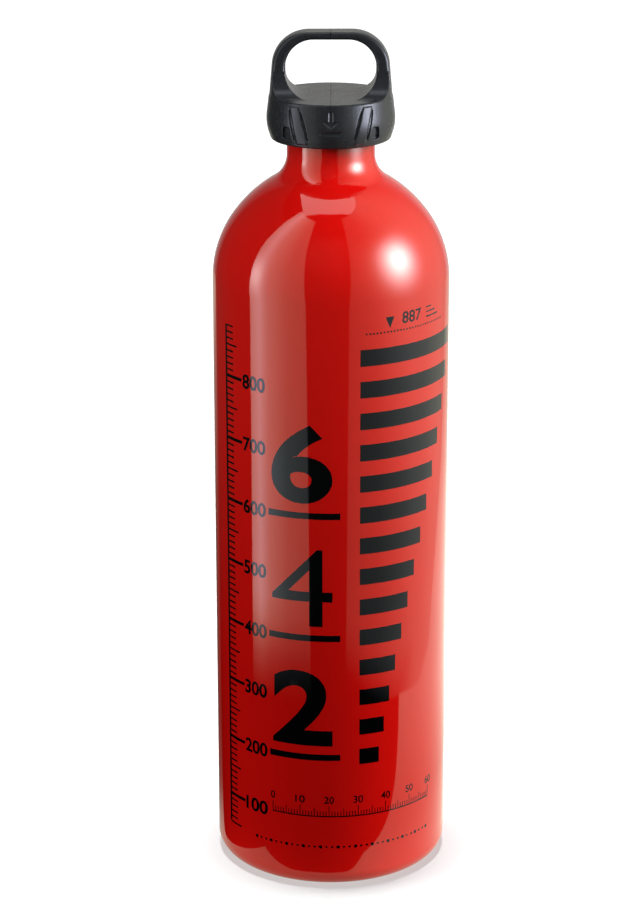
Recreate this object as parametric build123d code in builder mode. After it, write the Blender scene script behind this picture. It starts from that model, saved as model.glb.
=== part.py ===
from build123d import *
from math import acos, cos, degrees, hypot, radians, sin
import os

# Camping fuel bottle: a necked aluminium flask with a press-and-turn stopper that has a carrying loop.
# Millimetres, +Z up. The origin is on the bottle's axis, in the plane that the base stands on.
# The front of the stopper, with its press mark, faces -Y.

os.makedirs("parts", exist_ok=True)

# Flask: the diameter comes from the volume below the fill line
body_radius = 39.5
wall = 1.0
base_thickness = 1.4
base_corner = 6.1
standing_ring_inner = 30.0
base_dome_height = 5.0
wall_top = 205.5
shoulder_low_radius = 37.1
shoulder_low_angle = 36.35
shoulder_high_radius = 44.45
neck_fillet = 9.45
neck_radius = 14.55
inner_shoulder_radius = 37.5
inner_shoulder_centre = (1.0, 204.0)
bore_fillet = 4.0

# Neck: a bored and threaded mouth, with a cone that the seal sits on
bore_radius = 10.2
lip_height = 256.0
lip_edge = 0.8
seal_cone_radius = 13.0

# Screw thread of the stopper in the neck
thread_pitch = 3.0
thread_turns = 2.25
thread_start = 246.6
thread_root_radius = 9.4
thread_crest_radius = 11.0
thread_root_width = 1.7
thread_crest_width = 0.6
thread_clearance = 0.3
groove_lead_angle = 110.0
groove_turns = 4.0

# Stopper: hollow stem, flange with drive lugs on its top
stem_radius = 9.6
stem_bore_radius = 7.4
stem_bottom = 243.0
flange_bottom = 257.0
flange_thickness = 2.6
flange_radius = 17.4
flange_edge = 0.4
spring_seat_radius = 8.3
spring_seat_width = 1.5
spring_seat_height = 1.2

# Drive lugs: the same ring of lugs on the stopper and, half a step on, in the cover
lug_count = 12
lug_radius = 15.3
lug_length = 3.2
lug_width = 3.1
stopper_lug_height = 2.0
cover_lug_height = 2.6

# Seal ring, resting on the cone of the neck
seal_cord_radius = 1.2
seal_clearance = 0.08

# Return spring between the stopper and the cover
spring_wire = 0.9
spring_radius = 9.5
spring_turns = 2.25
spring_end_gap = 0.05

# Cover: a barrel-shaped cup with a snap bead that holds the flange
cover_rim = 252.6
cover_top = 267.2
cover_crown = 2.4
cover_cavity_radius = 18.0
cover_top_radius = 20.42
cover_top_edge = 0.6
cover_bend = (21.05, 261.4)
cover_foot_radius = 20.0
cover_foot_edge = 1.2
bead_radius = 16.6
bead_land = 0.8
bead_ramp = 0.5
bead_root = 0.5
bead_clearance = 0.15

# Half the length of a solid that cuts or trims right across the cover
cut_reach = 45.0

# Carrying loop on the cover
loop_rise = 20.8
loop_foot_radius = 20.18
loop_draft = 0.087
loop_corner = 11.5
loop_depth = 9.2
loop_sink = 1.5
loop_edge = 1.1
foot_flare = 8.0
opening_half_width = 14.85
opening_height = 18.35
opening_top_corner = 9.1
opening_foot_corner = 7.5

# Grip marks round the cover, in mirrored pairs at the front and the back
mark_depth = 0.5
rib_height = 0.3
outer_mark_top = 13.65
outer_mark_foot = 11.5
inner_mark_top = 10.2
inner_mark_foot = 7.3
mark_half_width = 0.45
mark_top = cover_top - 1.2
mark_foot = cover_rim + 1.4
rib_inset = 0.45
pocket_centre = 14.45
pocket_width = 2.1
pocket_height = 4.0
pocket_middle = cover_top - 10.1
pocket_depth = 0.9

# Press mark at the front of the cover: an arrow that points down at a bar
arrow_top = cover_top - 2.1
arrow_shaft_half = 0.7
arrow_shaft_length = 3.2
arrow_head_half = 2.7
arrow_head_length = 2.3
bar_half_length = 3.5
bar_width = 1.2
bar_gap = 1.1
mark_cut_depth = 0.35
parting_line_width = 0.25
parting_line_depth = 0.12


def shoulder_point(centre, radius, angle):
    """The point (r, z) of an arc at an angle in degrees above the horizontal."""
    return (centre[0] + radius * cos(radians(angle)), centre[1] + radius * sin(radians(angle)))


def fillet_centre(centre, radius, edge_radius, fillet_radius):
    """Where an outside fillet sits between an arc and a vertical edge: its angle and its centre."""
    angle = degrees(acos((edge_radius + fillet_radius - centre[0]) / (radius + fillet_radius)))
    return angle, shoulder_point(centre, radius + fillet_radius, angle)


def thread_ridge(root_radius, crest_radius, root_width, crest_width, turns):
    """A right-handed trapezoidal ridge round Z that starts on the X axis at height 0."""
    with BuildPart() as ridge:
        with BuildLine() as path:
            Helix(pitch=thread_pitch, height=thread_pitch * turns, radius=root_radius)
        with BuildSketch(Plane(origin=path.line @ 0, x_dir=(1, 0, 0), z_dir=path.line % 0)):
            with BuildLine():
                Polyline(
                    (0, -root_width / 2),
                    (crest_radius - root_radius, -crest_width / 2),
                    (crest_radius - root_radius, crest_width / 2),
                    (0, root_width / 2),
                    close=True,
                )
            make_face()
        sweep(path=path.line, is_frenet=True)
    return ridge.part


# Flask
low_centre = (body_radius - shoulder_low_radius, wall_top)
high_centre = shoulder_point(low_centre, shoulder_low_radius - shoulder_high_radius, shoulder_low_angle)
neck_angle, neck_centre = fillet_centre(high_centre, shoulder_high_radius, neck_radius, neck_fillet)
bore_angle, bore_centre = fillet_centre(
    inner_shoulder_centre, inner_shoulder_radius, bore_radius, bore_fillet
)
corner_centre = (body_radius - base_corner, base_corner)
inner_corner = base_corner - base_thickness
inner_corner_centre = (body_radius - wall - inner_corner, base_corner)
dome_radius = (standing_ring_inner**2 + base_dome_height**2) / (2 * base_dome_height)
inner_dome_radius = dome_radius + base_thickness
inner_ring = (inner_dome_radius**2 - (inner_dome_radius - base_dome_height) ** 2) ** 0.5
seal_cone_foot = lip_height - (seal_cone_radius - bore_radius)

thread_slope = (thread_root_width - thread_crest_width) / (thread_crest_radius - thread_root_radius)
groove_mouth_radius = bore_radius - thread_clearance
groove_floor_radius = thread_crest_radius + thread_clearance
groove_mouth_width = (
    thread_root_width - thread_slope * (groove_mouth_radius - thread_root_radius) + 2 * thread_clearance
)
groove_floor_width = groove_mouth_width - thread_slope * (groove_floor_radius - groove_mouth_radius)
groove_start = thread_start - groove_lead_angle / 360 * thread_pitch

thread_groove = thread_ridge(
    groove_mouth_radius, groove_floor_radius, groove_mouth_width, groove_floor_width, groove_turns
)

with BuildPart() as bottle:
    with BuildSketch(Plane.XZ):
        with BuildLine():
            Line((standing_ring_inner, 0), (corner_centre[0], 0))
            CenterArc(corner_centre, base_corner, -90, 90)
            Line((body_radius, base_corner), (body_radius, wall_top))
            CenterArc(low_centre, shoulder_low_radius, 0, shoulder_low_angle)
            CenterArc(
                high_centre, shoulder_high_radius, shoulder_low_angle, neck_angle - shoulder_low_angle
            )
            CenterArc(neck_centre, neck_fillet, 180 + neck_angle, -neck_angle)
            Line((neck_radius, neck_centre[1]), (neck_radius, lip_height - lip_edge))
            CenterArc((neck_radius - lip_edge, lip_height - lip_edge), lip_edge, 0, 90)
            Line((neck_radius - lip_edge, lip_height), (seal_cone_radius, lip_height))
            Line((seal_cone_radius, lip_height), (bore_radius, seal_cone_foot))
            Line((bore_radius, seal_cone_foot), (bore_radius, bore_centre[1]))
            CenterArc(bore_centre, bore_fillet, 180, bore_angle)
            CenterArc(inner_shoulder_centre, inner_shoulder_radius, bore_angle, -bore_angle)
            Line((body_radius - wall, inner_shoulder_centre[1]), (body_radius - wall, base_corner))
            CenterArc(inner_corner_centre, inner_corner, 0, -90)
            Line((inner_corner_centre[0], base_thickness), (inner_ring, base_thickness))
            ThreePointArc(
                (inner_ring, base_thickness),
                shoulder_point(
                    (0, base_dome_height - dome_radius),
                    inner_dome_radius,
                    90 - degrees(acos(1 - base_dome_height / inner_dome_radius)) / 2,
                ),
                (0, base_dome_height + base_thickness),
            )
            Line((0, base_dome_height + base_thickness), (0, base_dome_height))
            ThreePointArc(
                (0, base_dome_height),
                shoulder_point(
                    (0, base_dome_height - dome_radius),
                    dome_radius,
                    90 - degrees(acos(1 - base_dome_height / dome_radius)) / 2,
                ),
                (standing_ring_inner, 0),
            )
        make_face()
    revolve(axis=Axis.Z)
    with Locations(Location((0, 0, groove_start), (0, 0, -groove_lead_angle))):
        add(thread_groove, mode=Mode.SUBTRACT)
bottle.part.label = "bottle_body"
export_step(bottle.part, "parts/bottle_body.step")


# Stopper: stem, flange, thread, drive lugs and the raised seat of the spring
flange_top = flange_bottom + flange_thickness
thread = thread_ridge(
    thread_root_radius, thread_crest_radius, thread_root_width, thread_crest_width, thread_turns
)

with BuildPart() as stopper:
    with BuildSketch(Plane.XY.offset(stem_bottom)):
        Circle(stem_radius)
    extrude(amount=flange_bottom - stem_bottom)
    with BuildSketch(Plane.XY.offset(flange_bottom)):
        Circle(flange_radius)
    extrude(amount=flange_thickness)
    fillet(stopper.edges().filter_by(GeomType.CIRCLE).group_by(SortBy.RADIUS)[-1], flange_edge)
    with Locations((0, 0, stem_bottom)):
        Hole(stem_bore_radius, depth=flange_bottom - stem_bottom)
    with Locations((0, 0, thread_start)):
        add(thread)
    with BuildSketch(Plane.XY.offset(flange_top)):
        with PolarLocations(lug_radius, lug_count):
            Rectangle(lug_length, lug_width)
    extrude(amount=stopper_lug_height)
    with BuildSketch(Plane.XY.offset(flange_top)):
        Circle(spring_seat_radius)
        Circle(spring_seat_radius - spring_seat_width, mode=Mode.SUBTRACT)
    extrude(amount=spring_seat_height)
stopper.part.label = "threaded_stopper"
export_step(stopper.part, "parts/threaded_stopper.step")


# Seal ring: its cord lies between the cone, the stem and the flange when the stopper is tight
seal_height = flange_bottom - seal_cord_radius - seal_clearance
cone_offset = (seal_cord_radius + seal_clearance) * 2**0.5
seal_radius = bore_radius + seal_height - seal_cone_foot - cone_offset

with BuildPart() as seal:
    with BuildSketch(Plane.XZ):
        with Locations((seal_radius, seal_height)):
            Circle(seal_cord_radius)
    revolve(axis=Axis.Z)
seal.part.label = "seal_ring"
export_step(seal.part, "parts/seal_ring.step")


# Return spring: an open coil that stands on the flange and lifts the cover
spring_foot = flange_top + spring_wire / 2 + spring_end_gap
spring_head = cover_top - cover_crown - spring_wire / 2 - spring_end_gap
spring_rise = spring_head - spring_foot

with BuildPart() as spring:
    with BuildLine() as coil:
        Helix(
            pitch=spring_rise / spring_turns,
            height=spring_rise,
            radius=spring_radius,
            center=(0, 0, spring_foot),
        )
    with BuildSketch(Plane(origin=coil.line @ 0, x_dir=(1, 0, 0), z_dir=coil.line % 0)):
        Circle(spring_wire / 2)
    sweep(path=coil.line, is_frenet=True)
spring.part.label = "return_spring"
export_step(spring.part, "parts/return_spring.step")


# Carrying loop: a dome cut to a slab with rounded edges, and the grip opening through it
loop_top = cover_top + loop_rise
loop_foot = cover_top - loop_sink

with BuildPart() as loop:
    with BuildSketch(Plane.XZ) as dome_section:
        with BuildLine():
            Polyline(
                (0, loop_foot),
                (loop_foot_radius + loop_draft * loop_sink, loop_foot),
                (loop_foot_radius - loop_draft * loop_rise, loop_top),
                (0, loop_top),
                close=True,
            )
        make_face()
        fillet(dome_section.vertices().group_by(Axis.Y)[-1].sort_by(Axis.X)[-1], loop_corner)
    revolve(axis=Axis.Z)
    with BuildSketch(Plane.YZ):
        with Locations((0, cover_top)):
            Rectangle(loop_depth, 2 * cut_reach)
    extrude(amount=cut_reach, both=True, mode=Mode.INTERSECT)
    with BuildSketch(Plane.XZ.offset(-cut_reach)) as opening:
        with Locations((0, cover_top + opening_height / 2)):
            Rectangle(2 * opening_half_width, opening_height)
        fillet(opening.vertices().group_by(Axis.Y)[0], opening_foot_corner)
        fillet(opening.vertices().group_by(Axis.Y)[-1], opening_top_corner)
    extrude(amount=2 * cut_reach, mode=Mode.SUBTRACT)
    rims = loop.edges().filter_by_position(Axis.Z, loop_foot + loop_edge, loop_top + loop_edge)
    fillet(rims.group_by(Axis.Y)[0] + rims.group_by(Axis.Y)[-1], loop_edge)

# Flared feet: where the loop's legs run out on to the cover, in front and behind
foot_half_depth = loop_depth / 2 + foot_flare

with BuildPart() as feet:
    with BuildSketch(Plane.XZ):
        add(dome_section.sketch_local)
    revolve(axis=Axis.Z)
    with BuildSketch(Plane.YZ):
        with BuildLine():
            Polyline((-loop_depth / 2, cover_top + foot_flare), (loop_depth / 2, cover_top + foot_flare))
            CenterArc((foot_half_depth, cover_top + foot_flare), foot_flare, 180, 90)
            Polyline(
                (foot_half_depth, cover_top),
                (foot_half_depth, loop_foot),
                (-foot_half_depth, loop_foot),
                (-foot_half_depth, cover_top),
            )
            CenterArc((-foot_half_depth, cover_top + foot_flare), foot_flare, -90, 90)
        make_face()
    extrude(amount=cut_reach, both=True, mode=Mode.INTERSECT)
    with BuildSketch(Plane.XZ.offset(-cut_reach)):
        add(opening.sketch_local)
    extrude(amount=2 * cut_reach, mode=Mode.SUBTRACT)


def barrel(grow):
    """The cover's outside turned round Z, grown by a number of millimetres, from rim to crown."""
    bend = (cover_bend[0] + grow, cover_bend[1])
    foot_radius = cover_foot_radius + grow
    shoulder = (cover_top_radius + grow, cover_top - cover_top_edge)
    with BuildPart() as turned:
        with BuildSketch(Plane.XZ):
            with BuildLine():
                Line((0, cover_rim), (foot_radius - cover_foot_edge, cover_rim))
                CenterArc(
                    (foot_radius - cover_foot_edge, cover_rim + cover_foot_edge), cover_foot_edge, -90, 90
                )
                flank = Line(bend, shoulder)
                TangentArc(bend, (foot_radius, cover_rim + cover_foot_edge), tangent=-(flank % 0))
                CenterArc((shoulder[0] - cover_top_edge, shoulder[1]), cover_top_edge, 0, 90)
                Polyline((shoulder[0] - cover_top_edge, cover_top), (0, cover_top), (0, cover_rim))
            make_face()
        revolve(axis=Axis.Z)
    return turned.part


def lens_side(top, foot, bulge):
    """The widest point on one side of a slim lens between two points of a front view, (x, z)."""
    length = hypot(top[0] - foot[0], top[1] - foot[1])
    return (
        (top[0] + foot[0]) / 2 + (top[1] - foot[1]) / length * bulge,
        (top[1] + foot[1]) / 2 + (foot[0] - top[0]) / length * bulge,
    )


# Grip marks: raised slanted ribs with a slim groove on each side, and a pocket beside them
mark_ends = (
    ((outer_mark_top, mark_top), (outer_mark_foot, mark_foot)),
    ((inner_mark_top, mark_top), (inner_mark_foot, mark_foot)),
)

with BuildPart() as ribs:
    with BuildSketch(Plane.XZ):
        with BuildLine():
            Polyline(
                (inner_mark_top + rib_inset, mark_top),
                (outer_mark_top - rib_inset, mark_top),
                (outer_mark_foot - rib_inset, mark_foot),
                (inner_mark_foot + rib_inset, mark_foot),
                close=True,
            )
        make_face()
        mirror(about=Plane.YZ)
    extrude(amount=cut_reach, both=True)
    add(barrel(rib_height), mode=Mode.INTERSECT)

with BuildPart() as grooves:
    with BuildSketch(Plane.XZ):
        for top, foot in mark_ends:
            with BuildLine():
                ThreePointArc(top, lens_side(top, foot, mark_half_width), foot)
                ThreePointArc(foot, lens_side(top, foot, -mark_half_width), top)
            make_face()
        mirror(about=Plane.YZ)
    extrude(amount=cut_reach, both=True)
    add(barrel(-mark_depth), mode=Mode.SUBTRACT)

with BuildPart() as pockets:
    with BuildSketch(Plane.XZ):
        with Locations((pocket_centre, pocket_middle), (-pocket_centre, pocket_middle)):
            RectangleRounded(pocket_width, pocket_height, pocket_width / 4)
    extrude(amount=cut_reach, both=True)
    add(barrel(-pocket_depth), mode=Mode.SUBTRACT)

with BuildPart() as press_mark:
    with BuildSketch(Plane.XZ):
        with BuildLine():
            shaft_foot = arrow_top - arrow_shaft_length
            Polyline(
                (-arrow_shaft_half, arrow_top),
                (arrow_shaft_half, arrow_top),
                (arrow_shaft_half, shaft_foot),
                (arrow_head_half, shaft_foot),
                (0, shaft_foot - arrow_head_length),
                (-arrow_head_half, shaft_foot),
                (-arrow_shaft_half, shaft_foot),
                close=True,
            )
        make_face()
        with Locations((0, shaft_foot - arrow_head_length - bar_gap - bar_width / 2)):
            Rectangle(2 * bar_half_length, bar_width)
    extrude(amount=cut_reach)
    add(barrel(-mark_cut_depth), mode=Mode.SUBTRACT)


# Cover: the barrel with its loop and marks, hollowed for the stopper
bead_top = flange_bottom - bead_clearance
cavity_height = cover_top - cover_crown - cover_rim

with BuildPart() as cover:
    add(barrel(0))
    add(loop.part)
    add(feet.part)
    add(ribs.part)
    add(grooves.part, mode=Mode.SUBTRACT)
    add(pockets.part, mode=Mode.SUBTRACT)
    add(press_mark.part, mode=Mode.SUBTRACT)
    with BuildSketch(Plane.XY.offset(cover_rim)):
        Circle(cover_cavity_radius)
    extrude(amount=cavity_height, mode=Mode.SUBTRACT)
    with BuildSketch(Plane.XZ):
        with BuildLine():
            Polyline(
                (cover_cavity_radius + bead_root, bead_top),
                (bead_radius, bead_top),
                (bead_radius, bead_top - bead_land),
                (cover_cavity_radius, bead_top - bead_land - bead_ramp),
                (cover_cavity_radius + bead_root, bead_top - bead_land - bead_ramp),
                close=True,
            )
        make_face()
    revolve(axis=Axis.Z)
    with BuildSketch(Plane.XY.offset(cover_rim + cavity_height)):
        with PolarLocations(lug_radius, lug_count, start_angle=180 / lug_count):
            Rectangle(lug_length, lug_width)
    extrude(amount=-cover_lug_height)
    with BuildSketch(Plane.XY.offset(cover_top)):
        Rectangle(parting_line_width, 2 * cover_top_radius)
    extrude(amount=-parting_line_depth, mode=Mode.SUBTRACT)
cover.part.label = "cap_cover"
export_step(cover.part, "parts/cap_cover.step")
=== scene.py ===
"""Camping fuel bottle: enamelled flask, level print, press-and-turn stopper and cover, in a small studio."""

import logging
from dataclasses import dataclass
from enum import Enum
from math import acos, ceil, cos, degrees, exp, floor, hypot, pi, radians, sin

import bmesh
import bpy
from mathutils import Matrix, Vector


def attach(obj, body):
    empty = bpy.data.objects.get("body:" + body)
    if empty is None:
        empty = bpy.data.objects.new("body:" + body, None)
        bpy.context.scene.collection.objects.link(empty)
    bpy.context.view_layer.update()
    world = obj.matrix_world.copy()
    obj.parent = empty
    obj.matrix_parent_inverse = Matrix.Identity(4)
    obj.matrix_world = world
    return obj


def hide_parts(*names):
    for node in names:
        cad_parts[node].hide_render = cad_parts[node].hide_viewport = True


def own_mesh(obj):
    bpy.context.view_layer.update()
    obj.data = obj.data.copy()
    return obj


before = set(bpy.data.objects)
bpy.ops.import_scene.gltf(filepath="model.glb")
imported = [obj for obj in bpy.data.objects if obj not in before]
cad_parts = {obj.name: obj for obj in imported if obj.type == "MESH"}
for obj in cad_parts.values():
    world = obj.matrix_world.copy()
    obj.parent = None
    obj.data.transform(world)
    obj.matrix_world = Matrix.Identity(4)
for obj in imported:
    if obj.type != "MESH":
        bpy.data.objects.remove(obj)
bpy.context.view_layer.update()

log = logging.getLogger("fuel_bottle")

MM = 0.001
ON_AXIS = 1e-6

Colour = tuple[float, float, float]
Point = tuple[float, float]
Place = tuple[float, float, float]
Stops = tuple[Point, ...]
Socket = bpy.types.NodeSocket


class Body(Enum):
    """The CAD bodies that the new pieces ride on."""

    BOTTLE = "bottle"
    SPRING = "spring"
    COVER = "cover"


class Node(Enum):
    """The CAD nodes."""

    FLASK = "bottle_body"
    SEAL = "seal_ring"
    STOPPER = "threaded_stopper"
    SPRING = "return_spring"
    COVER = "cap_cover"


class Slot(Enum):
    """The record's material slots that new pieces take their finish from."""

    ENAMEL = "red_enamel"
    COVER_PLASTIC = "black_plastic"
    SPRING_STEEL = "spring_steel"


class Target(Enum):
    """What a lamp lights."""

    BOTTLE = "bottle"
    FLOOR = "floor"


class Ray(Enum):
    """The kinds of ray that can see a piece of the studio."""

    CAMERA = "visible_camera"
    DIFFUSE = "visible_diffuse"
    GLOSSY = "visible_glossy"
    TRANSMISSION = "visible_transmission"
    SCATTER = "visible_volume_scatter"
    SHADOW = "visible_shadow"


# Shading


@dataclass(frozen=True)
class Pattern:
    """A noise pattern in a finish, and the range of its values that counts.

    Its features have a size in millimetres, a number of finer layers (detail) and their weight
    (roughness). Stretch makes it finer along x, y and z. It is nothing at start and complete at end.
    """

    size: float
    detail: float = 3.0
    roughness: float = 0.5
    start: float = 0.3
    end: float = 0.7
    stretch: Place = (1, 1, 1)


class Recipe:
    """A material, put together one node at a time round its main shader."""

    def __init__(self, name: str) -> None:
        """Starts a material with a bare shader.

        Args:
            name: The material's name.
        """
        self.material = bpy.data.materials.new(name)
        self.material.use_nodes = True
        self.tree = self.material.node_tree
        self.shader = self.tree.nodes["Principled BSDF"]
        self.place = self.add("ShaderNodeTexCoord").outputs["Object"]

    def add(self, kind: str, **settings: object) -> bpy.types.Node:
        """Adds a node.

        Args:
            kind: The node's Blender type.
            settings: Properties of the node.

        Returns:
            The node.
        """
        node = self.tree.nodes.new(kind)
        for name, value in settings.items():
            setattr(node, name, value)
        return node

    def join(self, source: Socket, target: Socket) -> None:
        """Links an output to an input."""
        self.tree.links.new(source, target)

    def feed(self, name: str, source: Socket) -> None:
        """Links an output to a named input of the main shader."""
        self.join(source, self.shader.inputs[name])

    def fix(self, **values: object) -> None:
        """Sets inputs of the main shader; an underscore in a name stands for a space."""
        for name, value in values.items():
            self.shader.inputs[name.replace("_", " ")].default_value = value

    def noise(self, pattern: Pattern) -> Socket:
        """The bare noise of a pattern.

        Args:
            pattern: The pattern.

        Returns:
            The noise, about 0.3 to 0.7.
        """
        mapping = self.add("ShaderNodeMapping")
        mapping.inputs["Scale"].default_value = pattern.stretch
        self.join(self.place, mapping.inputs["Vector"])
        node = self.add("ShaderNodeTexNoise")
        node.inputs["Scale"].default_value = 1 / (pattern.size * MM)
        node.inputs["Detail"].default_value = pattern.detail
        node.inputs["Roughness"].default_value = pattern.roughness
        self.join(mapping.outputs["Vector"], node.inputs["Vector"])
        return node.outputs["Fac"]

    def patches(self, pattern: Pattern, low: float = 0.0, high: float = 1.0) -> Socket:
        """A pattern's noise, mapped from the range that counts on to low and high."""
        return self.span(self.noise(pattern), pattern.start, pattern.end, low, high)

    def span(
        self, source: Socket, start: float, end: float, low: float = 0.0, high: float = 1.0
    ) -> Socket:
        """Maps the range from start to end on to the range from low to high, clamped.

        Args:
            source: The value to map.
            start: The value that gives low.
            end: The value that gives high.
            low: The first result.
            high: The last result.

        Returns:
            The mapped value.
        """
        node = self.add("ShaderNodeMapRange", interpolation_type="SMOOTHSTEP")
        for name, value in zip(("From Min", "From Max", "To Min", "To Max"), (start, end, low, high)):
            node.inputs[name].default_value = value
        self.join(source, node.inputs["Value"])
        return node.outputs["Result"]

    def along(self, axis: str) -> Socket:
        """One of the piece's own coordinates.

        Args:
            axis: X, Y or Z.

        Returns:
            The coordinate in metres; Z is the height above the floor at rest.
        """
        node = self.add("ShaderNodeSeparateXYZ")
        self.join(self.place, node.inputs["Vector"])
        return node.outputs[axis]

    def combine(self, operation: str, first: Socket, second: Socket | float) -> Socket:
        """Combines two values.

        Args:
            operation: Blender's name of the arithmetic.
            first: The first value.
            second: The second value, varying or fixed.

        Returns:
            The result, clamped from 0 to 1.
        """
        node = self.add("ShaderNodeMath", operation=operation, use_clamp=True)
        self.join(first, node.inputs[0])
        if isinstance(second, (int, float)):
            node.inputs[1].default_value = second
        else:
            self.join(second, node.inputs[1])
        return node.outputs["Value"]

    def tint(self, share: Socket, first: Colour | Socket, second: Colour) -> Socket:
        """Mixes two colours.

        Args:
            share: How much of the second colour shows.
            first: The ground colour, fixed or varying.
            second: The colour on top.

        Returns:
            The mixed colour.
        """
        node = self.add("ShaderNodeMix", data_type="RGBA")
        self.join(share, node.inputs["Factor"])
        if isinstance(first, tuple):
            node.inputs[6].default_value = (*first, 1)
        else:
            self.join(first, node.inputs[6])
        node.inputs[7].default_value = (*second, 1)
        return node.outputs[2]

    def relief(self, source: Socket, depth: float, under: Socket | None = None) -> Socket:
        """A bump from a height pattern.

        Args:
            source: The pattern.
            depth: The height of the bump in millimetres for a change of 1.
            under: A coarser bump that this one lies on.

        Returns:
            The bent normal.
        """
        node = self.add("ShaderNodeBump")
        node.inputs["Strength"].default_value = 1.0
        node.inputs["Distance"].default_value = depth * MM
        self.join(source, node.inputs["Height"])
        if under is not None:
            self.join(under, node.inputs["Normal"])
        return node.outputs["Normal"]


@dataclass(frozen=True)
class Enamel:
    """Baked gloss enamel on aluminium, scuffed where it stands. Heights and depths in mm."""

    colour: Colour = (0.72, 0.0052, 0.0036)
    deep_colour: Colour = (0.685, 0.0048, 0.0034)
    grit_colour: Colour = (0.80, 0.008, 0.005)
    bare_colour: Colour = (0.62, 0.61, 0.60)
    gloss_tint: Colour = (1.0, 0.985, 0.87)
    sharp: float = 0.038
    soft: float = 0.055
    scuffed: float = 0.3
    grit_share: float = 0.25
    ripple_depth: float = 0.0016
    scuff_foot: float = 0.05
    scuff_top: float = 0.9
    scuff_depth: float = 0.02
    cloud: Pattern = Pattern(size=38, detail=4, roughness=0.55, start=0.35, end=0.7)
    grit: Pattern = Pattern(size=0.25, detail=2, roughness=0.6, start=0.6, end=0.8)
    scuffs: Pattern = Pattern(size=1.6, detail=5, roughness=0.65, start=0.47, end=0.6)
    gloss: Pattern = Pattern(size=14)
    ripple: Pattern = Pattern(size=2.2, detail=2, roughness=0.4)

    def make(self) -> bpy.types.Material:
        """Mixes the pigment, scuffs the foot and ripples the gloss.

        Returns:
            The material.
        """
        recipe = Recipe("red_enamel")
        pigment = recipe.tint(recipe.patches(self.cloud), self.colour, self.deep_colour)
        grit = recipe.combine("MULTIPLY", recipe.patches(self.grit), self.grit_share)
        pigment = recipe.tint(grit, pigment, self.grit_colour)
        foot = recipe.span(recipe.along("Z"), self.scuff_foot * MM, self.scuff_top * MM, 1.0, 0.0)
        worn = recipe.combine("MULTIPLY", foot, recipe.patches(self.scuffs))
        recipe.feed("Base Color", recipe.tint(worn, pigment, self.bare_colour))
        recipe.feed("Metallic", worn)
        gloss = recipe.patches(self.gloss, self.sharp, self.soft)
        rough = recipe.combine("MULTIPLY", worn, self.scuffed)
        recipe.feed("Roughness", recipe.combine("ADD", gloss, rough))
        ripple = recipe.relief(recipe.noise(self.ripple), self.ripple_depth)
        recipe.feed("Normal", recipe.relief(worn, self.scuff_depth, ripple))
        recipe.fix(IOR=1.5, Specular_IOR_Level=0.5, Specular_Tint=(*self.gloss_tint, 1))
        return recipe.material


@dataclass(frozen=True)
class BareAluminium:
    """Drawn and turned aluminium, left bare: the lip, the thread and the inside. Depths in mm."""

    colour: Colour = (0.83, 0.825, 0.81)
    dull_colour: Colour = (0.58, 0.58, 0.575)
    smooth: float = 0.24
    dull: float = 0.42
    ring_depth: float = 0.012
    rings: Pattern = Pattern(size=0.35, detail=4, roughness=0.6, stretch=(0.02, 0.02, 1))
    stains: Pattern = Pattern(size=6, detail=5, roughness=0.6, start=0.4, end=0.68)

    def make(self) -> bpy.types.Material:
        """Turns fine rings into the metal and stains it.

        Returns:
            The material.
        """
        recipe = Recipe("bare_aluminium")
        rings = recipe.noise(self.rings)
        recipe.feed("Base Color", recipe.tint(recipe.patches(self.stains), self.colour, self.dull_colour))
        recipe.feed("Roughness", recipe.span(rings, self.rings.start, self.rings.end, self.smooth, self.dull))
        recipe.feed("Normal", recipe.relief(rings, self.ring_depth))
        recipe.fix(Metallic=1.0)
        return recipe.material


@dataclass(frozen=True)
class Ink:
    """Screen-printed ink, fired on to the enamel and a little less glossy. Depths in mm."""

    colour: Colour = (0.0010, 0.0012, 0.0016)
    thin_colour: Colour = (0.0045, 0.0030, 0.0032)
    gloss: float = 0.405
    gloss_tint: Colour = (0.73, 0.81, 1.0)
    sharp: float = 0.06
    soft: float = 0.085
    ripple_depth: float = 0.0016
    thin: Pattern = Pattern(size=0.7, detail=4, roughness=0.6, start=0.55, end=0.75)
    smears: Pattern = Pattern(size=3)
    ripple: Pattern = Pattern(size=2.2, detail=2, roughness=0.4)

    def make(self) -> bpy.types.Material:
        """Mixes the ink, thinner in places, with the enamel's own ripple.

        Returns:
            The material.
        """
        recipe = Recipe("black_ink")
        recipe.feed("Base Color", recipe.tint(recipe.patches(self.thin), self.colour, self.thin_colour))
        recipe.feed("Roughness", recipe.patches(self.smears, self.sharp, self.soft))
        recipe.feed("Normal", recipe.relief(recipe.noise(self.ripple), self.ripple_depth))
        recipe.fix(IOR=1.5, Specular_IOR_Level=self.gloss, Specular_Tint=(*self.gloss_tint, 1))
        return recipe.material


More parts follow.
